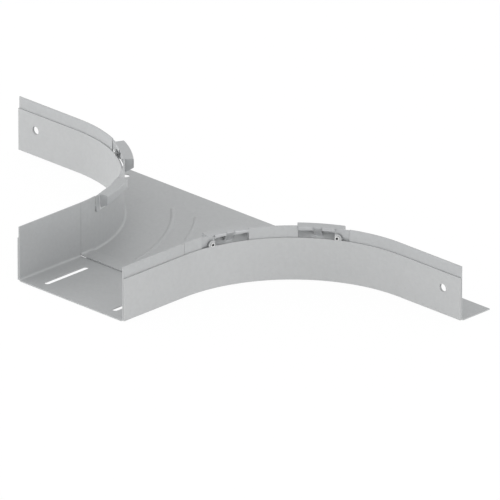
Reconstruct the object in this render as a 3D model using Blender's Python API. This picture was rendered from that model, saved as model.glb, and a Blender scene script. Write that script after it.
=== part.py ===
"""Cable tray tee in galvanised sheet steel.

A branch channel, open at its front end, widens through two curved walls into a
main side that is open along its whole length. The floor runs on under the main
run as a flange. Two outer bands follow the walls and carry four latch brackets,
each held by one hollow rivet.

Sizes are in millimetres. The branch points to -Y, the main side to +Y.
"""

import math

import bmesh
import bpy
from mathutils import Vector

MM = 0.001

# Driving dimensions
SHEET = 1.25
BEND = 2.5
FIT = 0.3
WIDTH = 150.0
HEIGHT = 60.0
LEG = 87.0
CORNER_RADIUS = 155.0
FLANGE = 41.5
ARC_STEPS = 36
BEND_STEPS = 5

JOINT_Y = 88.5
LAP_LENGTH = 16.5
LAP_RAMP = 3.0
TONGUE_LENGTH = 15.5
TONGUE_INSET = 4.5

SLOT_CENTRE_Y = 42.5
SLOT_LENGTH = 61.0
SLOT_WIDTH = 6.2
SLOT_INSET = 26.3

# Heights marked as drops are measured down from the wall tops
BAND_BOTTOM = 1.25
BAND_DROP = 12.5

HOLE_DIAMETER = 9.0
WALL_HOLE_INSET = 24.9
WALL_HOLE_HEIGHT = 29.6
FLANGE_HOLE_X = 190.0
FLANGE_HOLE_INSET = 14.3

# Ribs: inset from the wall, start and end along the curved wall
RIB_WIDTH = 5.0
RIB_HEIGHT = 1.0
RIB_TAPER = 3.5
RIBS = ((50.5, 24.3, 133.9), (74.5, 71.7, 118.2))

# Latch brackets: positions along the curved wall, on both sides of a middle line
LATCH_MIDDLE = 103.07
WINDOW_NEAR = 25.16
WINDOW_FAR = 78.99
WINDOW_DROP = 17.0
WINDOW_PLAY = 0.35
LATCH_SHEET = 1.0
LATCH_DEPTH = 12.3
LATCH_LIP = 3.4
LATCH_BACK = 9.6
LATCH_LEG = 14.4
LATCH_LEG_END = 1.95
LATCH_OVERLAP = 0.55
LATCH_END = 71.15
LEAF_START = 63.57
LEAF_DROP = 16.6
LEAF_LEAN = 1.9
NOTCH_AT = 45.4
NOTCH_WIDTH = 9.6
NOTCH_DEPTH = 1.6
TONGUE_DROP = 11.6
TONGUE_REACH = 7.0
TONGUE_PLAY = 0.7

RIVET_AT = 66.28
RIVET_DROP = 10.7
RIVET_HOLE = 4.2
RIVET_SHANK = 3.6
RIVET_HEAD = 5.4
RIVET_HEAD_THICKNESS = 0.5
RIVET_TAIL = 4.4
RIVET_BORE = 2.6
RIVET_BORE_DEPTH = 3.8
EAR_RADIUS = 4.6
EAR_SIDE = 2.6

# Derived positions
DEPTH = LEG + CORNER_RADIUS + FLANGE
WALL_Y = LEG + CORNER_RADIUS
CENTRE_X = WIDTH / 2 + CORNER_RADIUS
END_X = CENTRE_X + LEG
OUTER_BEND = BEND + SHEET
LIFT = SHEET + FIT
BAND_FACE = -FIT - SHEET
BAND_TOP = HEIGHT - BAND_DROP
STEP_ANGLE = 90.0 / ARC_STEPS
LATCH_TOP = HEIGHT - FIT
LATCH_CUT = BAND_FACE - 2
RIVET_HEIGHT = HEIGHT - RIVET_DROP


for old in list(bpy.data.objects):
    bpy.data.objects.remove(old, do_unlink=True)


def steel(name, colour, roughness):
    material = bpy.data.materials.new(name)
    material.use_nodes = True
    shader = material.node_tree.nodes["Principled BSDF"]
    shader.inputs["Base Color"].default_value = (*colour, 1.0)
    shader.inputs["Roughness"].default_value = roughness
    shader.inputs["Metallic"].default_value = 0.7
    return material


def put(name, verts, faces, material=None, smooth=True):
    """Make a closed object from points in millimetres."""
    bm = bmesh.new()
    points = [bm.verts.new((x * MM, (y - DEPTH / 2) * MM, z * MM)) for x, y, z in verts]
    for face in faces:
        bm.faces.new([points[i] for i in face])
    bmesh.ops.recalc_face_normals(bm, faces=bm.faces)
    mesh = bpy.data.meshes.new(name)
    bm.to_mesh(mesh)
    bm.free()
    obj = bpy.data.objects.new(name, mesh)
    bpy.context.scene.collection.objects.link(obj)
    if material:
        mesh.materials.append(material)
    if smooth:
        mesh.shade_smooth()
        mesh.set_sharp_from_angle(angle=math.radians(30))
    return obj


def carve(target, solids, operation):
    """Apply a group of separate closed solids to a sheet."""
    verts = []
    faces = []
    for part_verts, part_faces in solids:
        shift = len(verts)
        verts += part_verts
        faces += [[i + shift for i in face] for face in part_faces]
    tool = put(f"{target.name}_{operation.lower()}_{len(target.modifiers)}", verts, faces, smooth=False)
    tool.hide_render = True
    tool.display_type = "WIRE"
    modifier = target.modifiers.new(operation.title(), "BOOLEAN")
    modifier.operation = operation
    modifier.solver = "EXACT"
    modifier.object = tool


def sweep(stations, section):
    """Carry a closed section of (depth, height) points along plan stations."""
    count = len(section)
    verts = [(x + nx * d, y + ny * d, z) for x, y, nx, ny in stations for d, z in section]
    faces = []
    for i in range(len(stations) - 1):
        for j in range(count):
            k = (j + 1) % count
            faces.append([i * count + j, i * count + k, (i + 1) * count + k, (i + 1) * count + j])
    faces.append(list(range(count)))
    faces.append(list(range((len(stations) - 1) * count, len(stations) * count)))
    return verts, faces


def block(x0, x1, y0, y1, z0, z1):
    return sweep([(x0, y0, 0, 1), (x1, y0, 0, 1)], [(0, z0), (y1 - y0, z0), (y1 - y0, z1), (0, z1)])


def turned(at, axis, profile, segments=32):
    """Revolve a profile of (radius, along) points about an axis, flat at both ends."""
    axis = Vector(axis).normalized()
    side = Vector((0, 0, 1)) if abs(axis.z) < 0.5 else Vector((1, 0, 0))
    other = axis.cross(side)
    count = len(profile)
    verts = []
    faces = []
    for i in range(segments):
        turn = 2 * math.pi * (i + 0.5) / segments
        spoke = side * math.cos(turn) + other * math.sin(turn)
        verts += [tuple(Vector(at) + spoke * r + axis * a) for r, a in profile]
        following = (i + 1) % segments
        for j in range(count - 1):
            faces.append([i * count + j, i * count + j + 1, following * count + j + 1, following * count + j])
    faces.append([i * count for i in range(segments)])
    faces.append([i * count + count - 1 for i in range(segments)])
    return verts, faces


def pin(at, axis, radius, start, end):
    """A plain cylinder from start to end along an axis."""
    return turned(at, axis, [(radius, start), (radius, end)])


def lug(at, axis, toward, start, end):
    """A round lug with one straight upright side."""
    verts, faces = pin(at, axis, EAR_RADIUS, start, end)
    toward = Vector(toward)
    trimmed = []
    for point in verts:
        reach = (Vector(point) - Vector(at)).dot(toward)
        trimmed.append(tuple(Vector(point) - toward * max(0.0, reach - EAR_SIDE)))
    return trimmed, faces


def along(length):
    """Angle that a length takes up along the curved wall."""
    return math.degrees(length / CORNER_RADIUS)


def arc_station(side, angle):
    """Plan point on the outer face of the curved wall and its inward normal."""
    turn = math.radians(angle)
    x = side * (CENTRE_X - CORNER_RADIUS * math.cos(turn))
    y = LEG + CORNER_RADIUS * math.sin(turn)
    return x, y, -side * math.cos(turn), math.sin(turn)


def arc_stations(side, start, end):
    """Stations between two angles, shared with the faceting of the walls."""
    inner = [STEP_ANGLE * i for i in range(ARC_STEPS + 1)]
    inner = [a for a in inner if start + 0.05 < a < end - 0.05]
    return [arc_station(side, a) for a in [start, *inner, end]]


def wall_stations(side, start_y):
    straight = [(side * WIDTH / 2, start_y, -side, 0)]
    far = [(side * END_X, WALL_Y, 0, 1)]
    return straight + arc_stations(side, 0, 90) + far


def bend(centre_d, centre_z, radius, start, end):
    """Points of a fold in the (depth, height) plane, angles in degrees."""
    points = []
    for i in range(BEND_STEPS + 1):
        turn = math.radians(start + (end - start) * i / BEND_STEPS)
        points.append((centre_d + radius * math.cos(turn), centre_z + radius * math.sin(turn)))
    return points


def rounded(points, radius, steps=3):
    """Replace each inner corner of an open chain by a fold."""
    chain = [points[0]]
    for before, corner, after in zip(points, points[1:], points[2:]):
        a = (Vector(before) - Vector(corner)).normalized()
        b = (Vector(after) - Vector(corner)).normalized()
        half = math.acos(max(-1.0, min(1.0, a.dot(b)))) / 2
        reach = radius / math.tan(half)
        centre = Vector(corner) + (a + b).normalized() * (radius / math.sin(half))
        first = Vector(corner) + a * reach - centre
        last = Vector(corner) + b * reach - centre
        total = first.angle_signed(last)
        for i in range(steps + 1):
            turn = -total * i / steps
            spun = Vector((first.x * math.cos(turn) - first.y * math.sin(turn),
                           first.x * math.sin(turn) + first.y * math.cos(turn)))
            chain.append(tuple(centre + spun))
    chain.append(points[-1])
    return chain


def thicken(chain, thickness):
    """Give an open chain the thickness of a sheet, as a closed section."""
    left = []
    right = []
    for i, point in enumerate(chain):
        here = Vector(point)
        back = (here - Vector(chain[i - 1])).normalized() if i else None
        ahead = (Vector(chain[i + 1]) - here).normalized() if i + 1 < len(chain) else None
        back = back or ahead
        ahead = ahead or back
        heading = (back + ahead).normalized()
        normal = Vector((-heading.y, heading.x))
        reach = thickness / 2 / max(0.3, normal.dot(Vector((-ahead.y, ahead.x))))
        left.append(tuple(here + normal * reach))
        right.append(tuple(here - normal * reach))
    return left + right[::-1]


def latch_angle(end, offset):
    """Angle of a latch feature: end -1 is the branch side, +1 the main side."""
    return along(LATCH_MIDDLE + end * offset)


def latch_span(side, end, near, far, steps=0):
    """Stations of a latch feature, on the facets of the wall or in even steps."""
    low, high = sorted((latch_angle(end, near), latch_angle(end, far)))
    if steps:
        return [arc_station(side, low + (high - low) * i / steps) for i in range(steps + 1)]
    return arc_stations(side, low, high)


def rectangle(d0, d1, z0, z1):
    return [(d0, z0), (d1, z0), (d1, z1), (d0, z1)]


# Inlet channel: one folded sheet with a tongue under the floor plate
def build_channel(material):
    half = WIDTH / 2
    low = half - OUTER_BEND
    outer = [(-half, HEIGHT)] + bend(-low, OUTER_BEND, OUTER_BEND, 180, 270)
    outer += bend(low, OUTER_BEND, OUTER_BEND, 270, 360) + [(half, HEIGHT)]
    inner = [(half - SHEET, HEIGHT)] + bend(low, OUTER_BEND, BEND, 360, 270)
    inner += bend(-low, OUTER_BEND, BEND, 270, 180) + [(-half + SHEET, HEIGHT)]
    tongue_end = JOINT_Y + TONGUE_LENGTH
    verts, faces = sweep([(0, 0, 1, 0), (0, tongue_end, 1, 0)], outer + inner)
    channel = put("inlet_channel", verts, faces, material)
    wall_end = JOINT_Y - FIT
    side_cut = half - OUTER_BEND - TONGUE_INSET
    carve(channel, [
        block(-half - 5, -side_cut, wall_end, tongue_end + 5, -5, HEIGHT + 5),
        block(side_cut, half + 5, wall_end, tongue_end + 5, -5, HEIGHT + 5),
    ], "DIFFERENCE")
    carve(channel, [slot(side) for side in (-1, 1)], "DIFFERENCE")
    return channel


def slot(side):
    """A long hole with round ends through the channel floor."""
    centre_x = side * (WIDTH / 2 - SLOT_INSET)
    reach = (SLOT_LENGTH - SLOT_WIDTH) / 2
    outline = []
    for end, start in ((1, 0), (-1, 180)):
        for i in range(13):
            turn = math.radians(start + 15 * i)
            outline.append((centre_x + SLOT_WIDTH / 2 * math.cos(turn),
                            SLOT_CENTRE_Y + end * reach + SLOT_WIDTH / 2 * math.sin(turn)))
    count = len(outline)
    verts = [(x, y, z) for z in (-3, SHEET + 3) for x, y in outline]
    faces = [[i, (i + 1) % count, count + (i + 1) % count, count + i] for i in range(count)]
    faces += [list(range(count)), list(range(count, 2 * count))]
    return verts, faces


# Floor plate: floor, upturned curved walls and far flange in one drawn sheet
def build_plate(material):
    floor_reach = CORNER_RADIUS + OUTER_BEND
    lap_end = JOINT_Y + LAP_LENGTH
    ramp_end = lap_end + LAP_RAMP
    lap_angle = math.degrees(math.asin((lap_end - LEG) / floor_reach))
    ramp_angle = math.degrees(math.asin((ramp_end - LEG) / floor_reach))
    angles = [STEP_ANGLE * i for i in range(ARC_STEPS + 1)]
    angles = [a for a in angles if not lap_angle - 0.4 < a < ramp_angle + 0.4]
    angles = sorted([*angles, lap_angle, ramp_angle])
    outer = [(0, HEIGHT)] + bend(OUTER_BEND, OUTER_BEND, OUTER_BEND, 180, 270)
    inner = [(SHEET, HEIGHT)] + bend(OUTER_BEND, OUTER_BEND, BEND, 180, 270)
    section = outer + inner[::-1]
    size = len(section)
    low = len(outer) - 1
    verts = []
    rows = {}
    for side in (-1, 1):
        stations = [(side * WIDTH / 2, LEG - 8, -side, 0)]
        stations += [arc_station(side, a) for a in angles]
        stations += [(side * END_X, WALL_Y, 0, 1)]
        lifts = [LIFT] + [LIFT if a <= lap_angle else 0.0 for a in angles] + [0.0]
        rows[side] = []
        for (x, y, nx, ny), lift in zip(stations, lifts):
            rows[side].append(len(verts))
            for j, (d, z) in enumerate(section):
                fold = 0 < j < size - 1
                verts.append((x + nx * d, y + ny * d, z + (lift if fold else 0.0)))
    faces = []
    for side in (-1, 1):
        for a, b in zip(rows[side], rows[side][1:]):
            for j in range(size):
                if j != low:
                    k = (j + 1) % size
                    faces.append([a + j, a + k, b + k, b + j])
    corners = []
    for z in (0.0, SHEET):
        for side in (-1, 1):
            corners.append(len(verts))
            verts.append((side * END_X, DEPTH, z))
    lap = 1 + angles.index(lap_angle)
    for level, (left, right) in ((low, corners[:2]), (low + 1, corners[2:])):
        a = [row + level for row in rows[-1]]
        b = [row + level for row in rows[1]]
        faces.append(a[:lap + 1] + b[:lap + 1][::-1])
        faces.append([a[lap], a[lap + 1], b[lap + 1], b[lap]])
        faces.append(a[lap + 1:] + [left, right] + b[lap + 1:][::-1])
    first = rows[-1][0]
    other = rows[1][0]
    near = [first + j for j in range(low + 1)] + [other + j for j in range(low, -1, -1)]
    near += [other + j for j in range(size - 1, low, -1)] + [first + j for j in range(low + 1, size)]
    faces.append(near)
    for side, (bottom, top) in ((-1, (corners[0], corners[2])), (1, (corners[1], corners[3]))):
        last = rows[side][-1]
        below = [last + j for j in range(low + 1)]
        above = [last + j for j in range(low + 1, size)]
        faces.append(below + [bottom, top] + above)
    faces.append([corners[0], corners[1], corners[3], corners[2]])
    plate = put("floor_plate", verts, faces, material)
    carve(plate, [block(-WIDTH, WIDTH, LEG - 20, JOINT_Y, -5, HEIGHT + 5)], "DIFFERENCE")
    windows = []
    for side in (-1, 1):
        for end in (-1, 1):
            hole = rectangle(-1.0, SHEET + 1.0, HEIGHT - WINDOW_DROP, HEIGHT + 5)
            windows.append(sweep(latch_span(side, end, WINDOW_NEAR, WINDOW_FAR, 7), hole))
    carve(plate, windows, "DIFFERENCE")
    carve(plate, [rib(side, *spec, 0.0) for side in (-1, 1) for spec in RIBS], "UNION")
    carve(plate, [rib(side, *spec, SHEET) for side in (-1, 1) for spec in RIBS], "DIFFERENCE")
    holes = [wall_hole(side) for side in (-1, 1)]
    for side in (-1, 1):
        at = (side * FLANGE_HOLE_X, DEPTH - FLANGE_HOLE_INSET, 0)
        holes.append(pin(at, (0, 0, 1), HOLE_DIAMETER / 2, -3, SHEET + 3))
    carve(plate, holes, "DIFFERENCE")
    return plate


def rib(side, inset, start, end, drop):
    """A pressed rib that rises and falls to nothing at its ends."""
    first = along(start + RIB_TAPER)
    last = along(end - RIB_TAPER)
    inner = max(2, round((last - first) / STEP_ANGLE))
    angles = [first + (last - first) * i / inner for i in range(inner + 1)]
    stations = [arc_station(side, a) for a in [along(start), *angles, along(end)]]
    steps = len(stations) - 1
    verts = []
    faces = []
    shape = [(-1.0, 0.0), (-0.5, 0.8), (0.0, 1.0), (0.5, 0.8), (1.0, 0.0)]
    for i, (x, y, nx, ny) in enumerate(stations):
        rise = RIB_HEIGHT if 0 < i < steps else -0.1
        half = RIB_WIDTH / 2 if 0 < i < steps else RIB_WIDTH / 4
        top = SHEET - drop
        under = top - 0.6
        row = [(inset + half * u, top - 0.05 + (rise + 0.05) * v) for u, v in shape]
        row += [(inset + half, under), (inset - half, under)]
        verts += [(x + nx * d, y + ny * d, z) for d, z in row]
    count = len(shape) + 2
    for i in range(steps):
        for j in range(count):
            k = (j + 1) % count
            faces.append([i * count + j, i * count + k, (i + 1) * count + k, (i + 1) * count + j])
    faces += [list(range(count)), list(range(steps * count, (steps + 1) * count))]
    return verts, faces


def wall_hole(side):
    at = (side * (END_X - WALL_HOLE_INSET), WALL_Y, WALL_HOLE_HEIGHT)
    return pin(at, (0, 1, 0), HOLE_DIAMETER / 2, BAND_FACE - 3, SHEET + 3)


def rivet_at(side, end):
    x, y, nx, ny = arc_station(side, latch_angle(end, RIVET_AT))
    return (x, y, RIVET_HEIGHT), (nx, ny, 0)


def build_band(side, name, material):
    """Outer band along one wall, with an ear round each rivet."""
    stations = wall_stations(side, 0)
    band = put(name, *sweep(stations, rectangle(BAND_FACE, -FIT, BAND_BOTTOM, BAND_TOP)), material)
    ears = []
    holes = [wall_hole(side)]
    for end in (-1, 1):
        at, axis = rivet_at(side, end)
        toward = (side * -end * axis[1], side * end * axis[0], 0)
        ears.append(lug(at, axis, toward, BAND_FACE + 0.04, -FIT - 0.1))
        holes.append(pin(at, axis, RIVET_HOLE / 2, LATCH_CUT, 2))
    carve(band, ears, "UNION")
    carve(band, holes, "DIFFERENCE")
    return band


def leaf_face(z):
    """Distance of the leaning leaf behind the outer face of the wall."""
    return 0.02 + LEAF_LEAN * (LATCH_TOP - z) / (LATCH_TOP - HEIGHT + LEAF_DROP)


def build_latch(side, end, name, material):
    """Folded latch bracket: lip, ledge, back, sloping leg, cheeks, leaf and tongue."""
    half = LATCH_SHEET / 2
    front = BAND_FACE + half
    back = BAND_FACE + LATCH_DEPTH - half
    top = LATCH_TOP - half
    leg = (LATCH_LEG_END, LATCH_TOP - LATCH_LEG)
    knee = (back, LATCH_TOP - LATCH_BACK)
    chain = rounded([(front, LATCH_TOP - LATCH_LIP), (front, top), (back, top), knee, leg], LATCH_SHEET)
    span = latch_span(side, end, WINDOW_NEAR - LATCH_OVERLAP, LATCH_END)
    latch = put(name, *sweep(span, thicken(chain, LATCH_SHEET)), material)
    near = latch_span(side, end, WINDOW_NEAR - 2, WINDOW_NEAR + WINDOW_PLAY, 1)
    notch = latch_span(side, end, NOTCH_AT - NOTCH_WIDTH / 2, NOTCH_AT + NOTCH_WIDTH / 2, 1)
    lip_end = latch_span(side, end, LEAF_START, LATCH_END + 2, 1)
    carve(latch, [
        sweep(near, rectangle(LATCH_CUT, SHEET + FIT, HEIGHT - WINDOW_DROP, HEIGHT + 2)),
        sweep(notch, rectangle(LATCH_CUT, BAND_FACE + NOTCH_DEPTH, LATCH_TOP - 8, LATCH_TOP + 2)),
        sweep(lip_end, rectangle(LATCH_CUT, -0.1, LATCH_TOP - 8, LATCH_TOP + 2)),
    ], "DIFFERENCE")
    leaf = latch_span(side, end, LEAF_START - 0.5, WINDOW_FAR - WINDOW_PLAY, 3)
    high = top + 0.2
    low = HEIGHT - LEAF_DROP
    leaf_section = [(leaf_face(high), high), (leaf_face(low), low),
                    (leaf_face(low) + LATCH_SHEET, low), (leaf_face(high) + LATCH_SHEET, high)]
    far_at = LATCH_END - 0.15
    far_cheek = latch_span(side, end, far_at - LATCH_SHEET, far_at, 1)
    far_section = [(leaf_face(top) + half, top), (back, top), knee, leg]
    near_at = WINDOW_NEAR - LATCH_OVERLAP + 0.15
    near_cheek = latch_span(side, end, near_at, near_at + LATCH_SHEET, 1)
    near_section = [(leg[0], top), (back, top), knee, leg]
    tab_front = front + 0.1
    tab = rounded([(tab_front + 2.6, top - 0.05), (tab_front, top - 0.05),
                   (tab_front + TONGUE_REACH, top - TONGUE_DROP)], 0.7)
    tab_half = NOTCH_WIDTH / 2 - TONGUE_PLAY
    tab_span = latch_span(side, end, NOTCH_AT - tab_half, NOTCH_AT + tab_half, 1)
    carve(latch, [sweep(leaf, leaf_section)], "UNION")
    carve(latch, [
        sweep(far_cheek, far_section),
        sweep(near_cheek, near_section),
        sweep(tab_span, thicken(tab, LATCH_SHEET * 0.8)),
    ], "UNION")
    at, axis = rivet_at(side, end)
    carve(latch, [pin(at, axis, RIVET_HOLE / 2, -1, SHEET + LEAF_LEAN + 1)], "DIFFERENCE")
    return latch


def build_rivet(side, end, name, material):
    """Blind rivet with a hollow head through the band's ear and the bracket's leaf."""
    at, axis = rivet_at(side, end)
    head = RIVET_HEAD / 2
    bore = RIVET_BORE / 2
    shank = RIVET_SHANK / 2
    tail = RIVET_TAIL / 2
    outside = BAND_FACE - FIT
    face = outside - RIVET_HEAD_THICKNESS
    inside = leaf_face(RIVET_HEIGHT - tail) + LATCH_SHEET + FIT
    profile = [
        (bore, face + RIVET_BORE_DEPTH),
        (bore, face + 0.15),
        (bore + 0.3, face),
        (head - 0.5, face),
        (head, outside - RIVET_HEAD_THICKNESS * 0.45),
        (head, outside),
        (shank, outside),
        (shank, inside),
        (tail, inside),
        (tail, inside + 0.25),
        (tail * 0.8, inside + 0.45),
    ]
    return put(name, *turned(at, axis, profile), material)


build_channel(steel("channel_steel", (0.62, 0.63, 0.63), 0.46))
build_plate(steel("plate_steel", (0.61, 0.62, 0.62), 0.47))
for hand, word in ((-1, "left"), (1, "right")):
    build_band(hand, f"side_band_{word}", steel(f"band_steel_{word}", (0.63, 0.64, 0.64), 0.45))
    for way, place in ((-1, "branch"), (1, "main")):
        label = f"{word}_{place}"
        latch_steel = steel(f"latch_steel_{label}", (0.58, 0.59, 0.6), 0.42)
        build_latch(hand, way, f"latch_bracket_{label}", latch_steel)
        rivet_steel = steel(f"rivet_steel_{label}", (0.66, 0.66, 0.65), 0.38)
        build_rivet(hand, way, f"hollow_rivet_{label}", rivet_steel)
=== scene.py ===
"""Look of the cable tray tee: galvanised steel, soft studio light, photograph's view."""

import math

import bpy
from mathutils import Matrix, Vector

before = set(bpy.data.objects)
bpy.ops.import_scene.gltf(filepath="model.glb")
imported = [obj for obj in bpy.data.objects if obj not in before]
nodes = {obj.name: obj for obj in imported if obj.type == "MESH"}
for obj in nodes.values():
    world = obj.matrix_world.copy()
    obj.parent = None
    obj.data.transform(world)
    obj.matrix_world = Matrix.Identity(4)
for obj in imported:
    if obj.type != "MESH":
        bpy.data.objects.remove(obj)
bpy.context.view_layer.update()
scene = bpy.context.scene

# Photograph's camera: a long lens from so far away that its view is all but parallel
PIXELS = 500
PIXELS_PER_METRE = 980.72
AZIMUTH = math.radians(44.629)
ELEVATION = math.radians(23.122)
AIM = Vector((0.03496, 0.08158, -0.00053))
CAMERA_DISTANCE = 24.0
CLIP_END = 60.0

# World: strength straight up and at the horizon, for diffuse light and in reflections
WORLD_TOP = 0.7
WORLD_SIDE = 1.96
MIRRORED_TOP = 1.08
MIRRORED_SIDE = 0.6

# Lamps: bearing from -Y, the branch side, towards +X in degrees, and power in watts
LAMPS = {"left": (-70, 20.0), "front": (-20, 16.5), "right": (93, 17.5)}
LAMP_DISTANCE = 3.0
LAMP_ELEVATION = math.radians(8)
LAMP_SIZE = 1.8

# Floor: grey as the object is lit by it, and the white that the camera sees on it
FLOOR_REACH = 6.0
FLOOR_DROP = 0.0002
FLOOR_BOUNCE = 0.4
FLOOR_ROUGHNESS = 0.9
FLOOR_GLOW = 1.07
FLOOR_GLOW_SHARE = 0.9

# Zinc coat: crystals, fine grain, and the uneven tone and sheen of larger clouds
ZINC_METALLIC = 0.35
ZINC_IOR = 1.5
CRYSTAL_SIZE = 0.003
CRYSTAL_CONTRAST = 0.009
CRYSTAL_SHEEN = 0.04
CLOUD_SCALE = 14.0
CLOUD_DETAIL = 3.0
CLOUD_SPAN = (0.3, 0.7)
CLOUD_CONTRAST = 0.006
CLOUD_SHEEN = 0.03
GRAIN_SIZE = 0.0004
GRAIN_DETAIL = 2.0
GRAIN_STRENGTH = 0.06
GRAIN_HEIGHT = 0.00005

# Edges: turned faces look smooth below the first angle, cut edges are broken above the second
SMOOTH_ANGLE = math.radians(25)
CUT_ANGLE = math.radians(50)
EDGE_BREAK = 0.00015

# Middle of the right-hand arc of the walls in plan; the left-hand one is its mirror image
ARC_CENTRE = (0.230, -0.05475)

# Bore of a rivet's hollow head, where shade is painted: radius, and depths between which its
# faces lie
BORE_RADIUS = 0.00135
BORE_SPAN = (0.0002, 0.004)

# Pocket of a bracket, where light is painted on its inner faces: its middle, the radii of its
# mouth and back, and how far a face may lie
POCKET_RADIUS = 0.160
POCKET_HEIGHT = 0.052
POCKET_MOUTH = 0.1552
POCKET_BACK = 0.1615
POCKET_CLEAR = 0.001


class Graph:
    """Short calls for building a node tree."""

    def __init__(self, tree):
        self.tree = tree

    def node(self, kind, **values):
        made = self.tree.nodes.new(kind)
        for key, value in values.items():
            setattr(made, key, value)
        return made

    def link(self, source, target):
        self.tree.links.new(source, target)

    def math(self, operation, first, second):
        """One Math node. second is a socket or a number."""
        made = self.node("ShaderNodeMath", operation=operation)
        self.link(first, made.inputs[0])
        if isinstance(second, bpy.types.NodeSocket):
            self.link(second, made.inputs[1])
        else:
            made.inputs[1].default_value = second
        return made.outputs[0]

    def remap(self, source, low, high, to_low, to_high):
        made = self.node("ShaderNodeMapRange")
        made.inputs["From Min"].default_value = low
        made.inputs["From Max"].default_value = high
        made.inputs["To Min"].default_value = to_low
        made.inputs["To Max"].default_value = to_high
        self.link(source, made.inputs["Value"])
        return made.outputs["Result"]

    def mix(self, factor, first, second):
        made = self.node("ShaderNodeMixShader")
        self.link(factor, made.inputs["Fac"])
        self.link(first, made.inputs[1])
        self.link(second, made.inputs[2])
        return made.outputs["Shader"]


def add_camera():
    """Camera that looks along -X +Y, down at the photograph's angle."""
    data = bpy.data.cameras.new("camera")
    view_width = PIXELS / PIXELS_PER_METRE
    data.lens = data.sensor_width * CAMERA_DISTANCE / view_width
    data.clip_end = CLIP_END
    camera = bpy.data.objects.new("camera", data)
    right = Vector((math.cos(AZIMUTH), math.sin(AZIMUTH), 0))
    level = Vector((-math.sin(AZIMUTH), math.cos(AZIMUTH), 0))
    ahead = level * math.cos(ELEVATION) - Vector((0, 0, math.sin(ELEVATION)))
    up = right.cross(ahead)
    turn = Matrix((right, up, -ahead)).transposed().to_4x4()
    camera.matrix_world = Matrix.Translation(AIM - ahead * CAMERA_DISTANCE) @ turn
    scene.collection.objects.link(camera)
    scene.camera = camera


def studio_world():
    """Light from all sides, weak from above; soft in reflections, white to the camera."""
    world = bpy.data.worlds.new("studio")
    scene.world = world
    world.use_nodes = True
    graph = Graph(world.node_tree)
    world.node_tree.nodes.clear()
    place = graph.node("ShaderNodeTexCoord")
    split = graph.node("ShaderNodeSeparateXYZ")
    graph.link(place.outputs["Generated"], split.inputs["Vector"])
    height = split.outputs["Z"]

    diffuse = graph.node("ShaderNodeBackground")
    level = graph.remap(height, 0.0, 1.0, WORLD_SIDE, WORLD_TOP)
    graph.link(level, diffuse.inputs["Strength"])
    mirrored = graph.node("ShaderNodeBackground")
    level = graph.remap(height, 0.0, 1.0, MIRRORED_SIDE, MIRRORED_TOP)
    graph.link(level, mirrored.inputs["Strength"])
    white = graph.node("ShaderNodeBackground")
    white.inputs["Color"].default_value = (1, 1, 1, 1)

    rays = graph.node("ShaderNodeLightPath").outputs
    lit = graph.mix(
        rays["Is Glossy Ray"], diffuse.outputs["Background"], mirrored.outputs["Background"]
    )
    seen = graph.math("MAXIMUM", rays["Is Camera Ray"], rays["Is Transmission Ray"])
    out = graph.node("ShaderNodeOutputWorld")
    graph.link(graph.mix(seen, lit, white.outputs["Background"]), out.inputs["Surface"])


def add_lamp(name, bearing, power):
    """Large soft disc, low over the floor, that faces the middle of the object."""
    data = bpy.data.lights.new(name, "AREA")
    data.shape = "DISK"
    data.size = LAMP_SIZE
    data.energy = power
    lamp = bpy.data.objects.new(name, data)
    turn = math.radians(bearing)
    level = math.cos(LAMP_ELEVATION)
    towards = Vector((level * math.sin(turn), -level * math.cos(turn), math.sin(LAMP_ELEVATION)))
    lamp.location = towards * LAMP_DISTANCE
    lamp.rotation_euler = (-towards).to_track_quat("-Z", "Y").to_euler()
    scene.collection.objects.link(lamp)


def white_floor():
    """White floor that still takes a faint shadow."""
    mesh = bpy.data.meshes.new("studio_floor")
    corners = [(-1, -1), (1, -1), (1, 1), (-1, 1)]
    points = [(x * FLOOR_REACH, y * FLOOR_REACH, -FLOOR_DROP) for x, y in corners]
    mesh.from_pydata(points, [], [(0, 1, 2, 3)])
    floor = bpy.data.objects.new("studio_floor", mesh)
    scene.collection.objects.link(floor)

    material = bpy.data.materials.new("studio_white")
    material.use_nodes = True
    graph = Graph(material.node_tree)
    shader = material.node_tree.nodes["Principled BSDF"]
    shader.inputs["Base Color"].default_value = (FLOOR_BOUNCE, FLOOR_BOUNCE, FLOOR_BOUNCE, 1)
    shader.inputs["Roughness"].default_value = FLOOR_ROUGHNESS
    glow = graph.node("ShaderNodeEmission")
    glow.inputs["Strength"].default_value = FLOOR_GLOW
    rays = graph.node("ShaderNodeLightPath").outputs
    seen = graph.math("MAXIMUM", rays["Is Camera Ray"], rays["Is Glossy Ray"])
    seen = graph.math("MAXIMUM", seen, rays["Is Transmission Ray"])
    share = graph.math("MULTIPLY", seen, FLOOR_GLOW_SHARE)
    mixed = graph.mix(share, shader.outputs["BSDF"], glow.outputs["Emission"])
    graph.link(mixed, material.node_tree.nodes["Material Output"].inputs["Surface"])
    mesh.materials.append(material)


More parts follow.
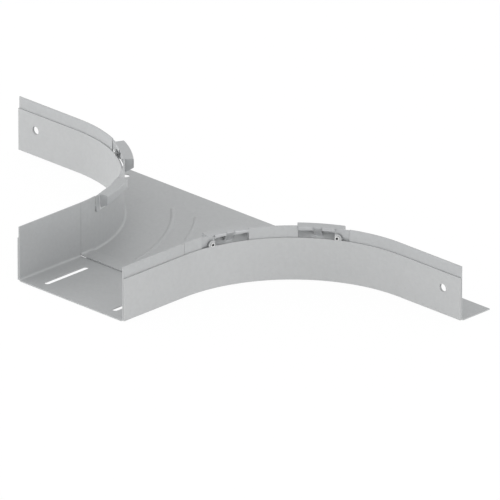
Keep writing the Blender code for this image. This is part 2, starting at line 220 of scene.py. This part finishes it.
def galvanised(
    name, grey, roughness, crystal=CRYSTAL_SIZE, contrast=CRYSTAL_CONTRAST, shift=0.0
):
    """Matt zinc coat: faint crystals, fine grain and a slightly uneven sheen."""
    material = bpy.data.materials.new(name)
    material.use_nodes = True
    graph = Graph(material.node_tree)
    shader = material.node_tree.nodes["Principled BSDF"]
    shader.inputs["Metallic"].default_value = ZINC_METALLIC
    shader.inputs["IOR"].default_value = ZINC_IOR

    place = graph.node("ShaderNodeTexCoord")
    moved = graph.node("ShaderNodeMapping")
    moved.inputs["Location"].default_value = (shift, shift * 0.37, -shift * 0.61)
    graph.link(place.outputs["Object"], moved.inputs["Vector"])
    where = moved.outputs["Vector"]

    crystals = graph.node("ShaderNodeTexVoronoi")
    crystals.inputs["Scale"].default_value = 1.0 / crystal
    graph.link(where, crystals.inputs["Vector"])
    split = graph.node("ShaderNodeSeparateColor")
    graph.link(crystals.outputs["Color"], split.inputs["Color"])

    cloud = graph.node("ShaderNodeTexNoise")
    cloud.inputs["Scale"].default_value = CLOUD_SCALE
    cloud.inputs["Detail"].default_value = CLOUD_DETAIL
    graph.link(where, cloud.inputs["Vector"])

    grain = graph.node("ShaderNodeTexNoise")
    grain.inputs["Scale"].default_value = 1.0 / GRAIN_SIZE
    grain.inputs["Detail"].default_value = GRAIN_DETAIL
    graph.link(where, grain.inputs["Vector"])

    tone = graph.math(
        "ADD",
        graph.remap(split.outputs["Red"], 0, 1, -contrast, contrast),
        graph.remap(cloud.outputs["Fac"], *CLOUD_SPAN, -CLOUD_CONTRAST, CLOUD_CONTRAST),
    )
    colour = graph.node("ShaderNodeCombineColor")
    for channel, level in zip(("Red", "Green", "Blue"), grey):
        graph.link(graph.math("ADD", tone, level), colour.inputs[channel])
    graph.link(colour.outputs[0], shader.inputs["Base Color"])

    dull, shiny = roughness + CRYSTAL_SHEEN, roughness - CRYSTAL_SHEEN
    sheen = graph.math(
        "ADD",
        graph.remap(split.outputs["Green"], 0, 1, shiny, dull),
        graph.remap(cloud.outputs["Fac"], *CLOUD_SPAN, -CLOUD_SHEEN, CLOUD_SHEEN),
    )
    graph.link(sheen, shader.inputs["Roughness"])

    bump = graph.node("ShaderNodeBump")
    bump.inputs["Strength"].default_value = GRAIN_STRENGTH
    bump.inputs["Distance"].default_value = GRAIN_HEIGHT
    graph.link(grain.outputs["Fac"], bump.inputs["Height"])
    graph.link(bump.outputs["Normal"], shader.inputs["Normal"])
    return material


def dress(obj, material):
    """Give a CAD node its finish and smooth its curved faces."""
    obj.data.materials.clear()
    obj.data.materials.append(material)
    obj.data.shade_smooth()
    obj.data.set_sharp_from_angle(angle=SMOOTH_ANGLE)


def soften_edges(obj):
    """Break the cut edges of the sheet, as stamping and coating leave them."""
    bevel = obj.modifiers.new("broken_edges", "BEVEL")
    bevel.width = EDGE_BREAK
    bevel.segments = 2
    bevel.limit_method = "ANGLE"
    bevel.angle_limit = CUT_ANGLE
    bevel.harden_normals = True


def in_plan(point):
    return Vector((point.x, point.y, 0))


def arc_centre(obj):
    """Middle of the arc that the wall on this node's side follows."""
    side = 1 if obj.data.vertices[0].co.x > 0 else -1
    return Vector((side * ARC_CENTRE[0], ARC_CENTRE[1], 0))


def paint_bore_shade(obj, material):
    """Paint shade into the bore of a rivet's hollow head: near black, partly the mandrel's
    darker steel.
    """
    mesh = obj.data
    points = [obj.matrix_world @ vertex.co for vertex in mesh.vertices]
    middle = sum(points, Vector()) / len(points)
    outward = (arc_centre(obj) - in_plan(middle)).normalized()
    reach = max((point - middle).dot(outward) for point in points)
    mesh.materials.append(material)
    for face in mesh.polygons:
        offset = obj.matrix_world @ face.center - middle
        depth = reach - offset.dot(outward)
        radius = (offset - outward * offset.dot(outward)).length
        if radius < BORE_RADIUS and BORE_SPAN[0] < depth < BORE_SPAN[1]:
            face.material_index = 1


def paint_pocket_light(obj, material):
    """Paint light onto the inner faces of a bracket's pocket: a lighter zinc that lifts the
    shade of the recess.
    """
    mesh = obj.data
    centre = arc_centre(obj)
    arms = [in_plan(obj.matrix_world @ vertex.co) - centre for vertex in mesh.vertices]
    deep = [arm for arm in arms if arm.length > POCKET_BACK]
    away = sum(deep, Vector()).normalized()
    along = Vector((-away.y, away.x, 0))
    half_length = max(abs(arm.dot(along)) for arm in deep)
    inside = centre + away * POCKET_RADIUS + Vector((0, 0, POCKET_HEIGHT))
    mesh.materials.append(material)
    for face in mesh.polygons:
        place = obj.matrix_world @ face.center
        normal = obj.matrix_world.to_3x3() @ face.normal
        arm = in_plan(place) - centre
        within = abs(arm.dot(along)) < half_length and arm.length > POCKET_MOUTH
        if within and (inside - place).dot(normal) > POCKET_CLEAR:
            face.material_index = 1


add_camera()
studio_world()
white_floor()
for lamp_name, (bearing, power) in LAMPS.items():
    add_lamp(lamp_name, bearing, power)

sheet = galvanised("galvanised_sheet", (0.52, 0.53, 0.535), 0.48)
band = galvanised("galvanised_band", (0.545, 0.553, 0.556), 0.46, shift=0.31)
bracket = galvanised(
    "galvanised_bracket", (0.5, 0.51, 0.517), 0.42, crystal=0.0022, shift=0.77
)
# Painted light: a lighter zinc for the inner faces of the bracket pockets, in place of the shade
# there
pocket = galvanised("pocket_painted_light", (0.66, 0.67, 0.675), 0.5, crystal=0.0022, shift=0.77)
rivet = galvanised("zinc_rivet", (0.66, 0.665, 0.66), 0.36, crystal=0.0012, shift=0.53)
# Painted shade: near-black colour for the hollow of each rivet head, partly the darker steel of
# its mandrel
bore = galvanised("bore_painted_shade", (0.08, 0.08, 0.083), 0.7, crystal=0.0012, contrast=0.004)

# Rivet bores get painted shade, and the inner faces of bracket pockets get painted light
for node_name, obj in nodes.items():
    if "rivet" in node_name:
        dress(obj, rivet)
        paint_bore_shade(obj, bore)
    elif "bracket" in node_name:
        dress(obj, bracket)
        paint_pocket_light(obj, pocket)
    elif "band" in node_name:
        dress(obj, band)
    else:
        dress(obj, sheet)
    if "rivet" not in node_name:
        soften_edges(obj)

scene.view_settings.view_transform = "Standard"
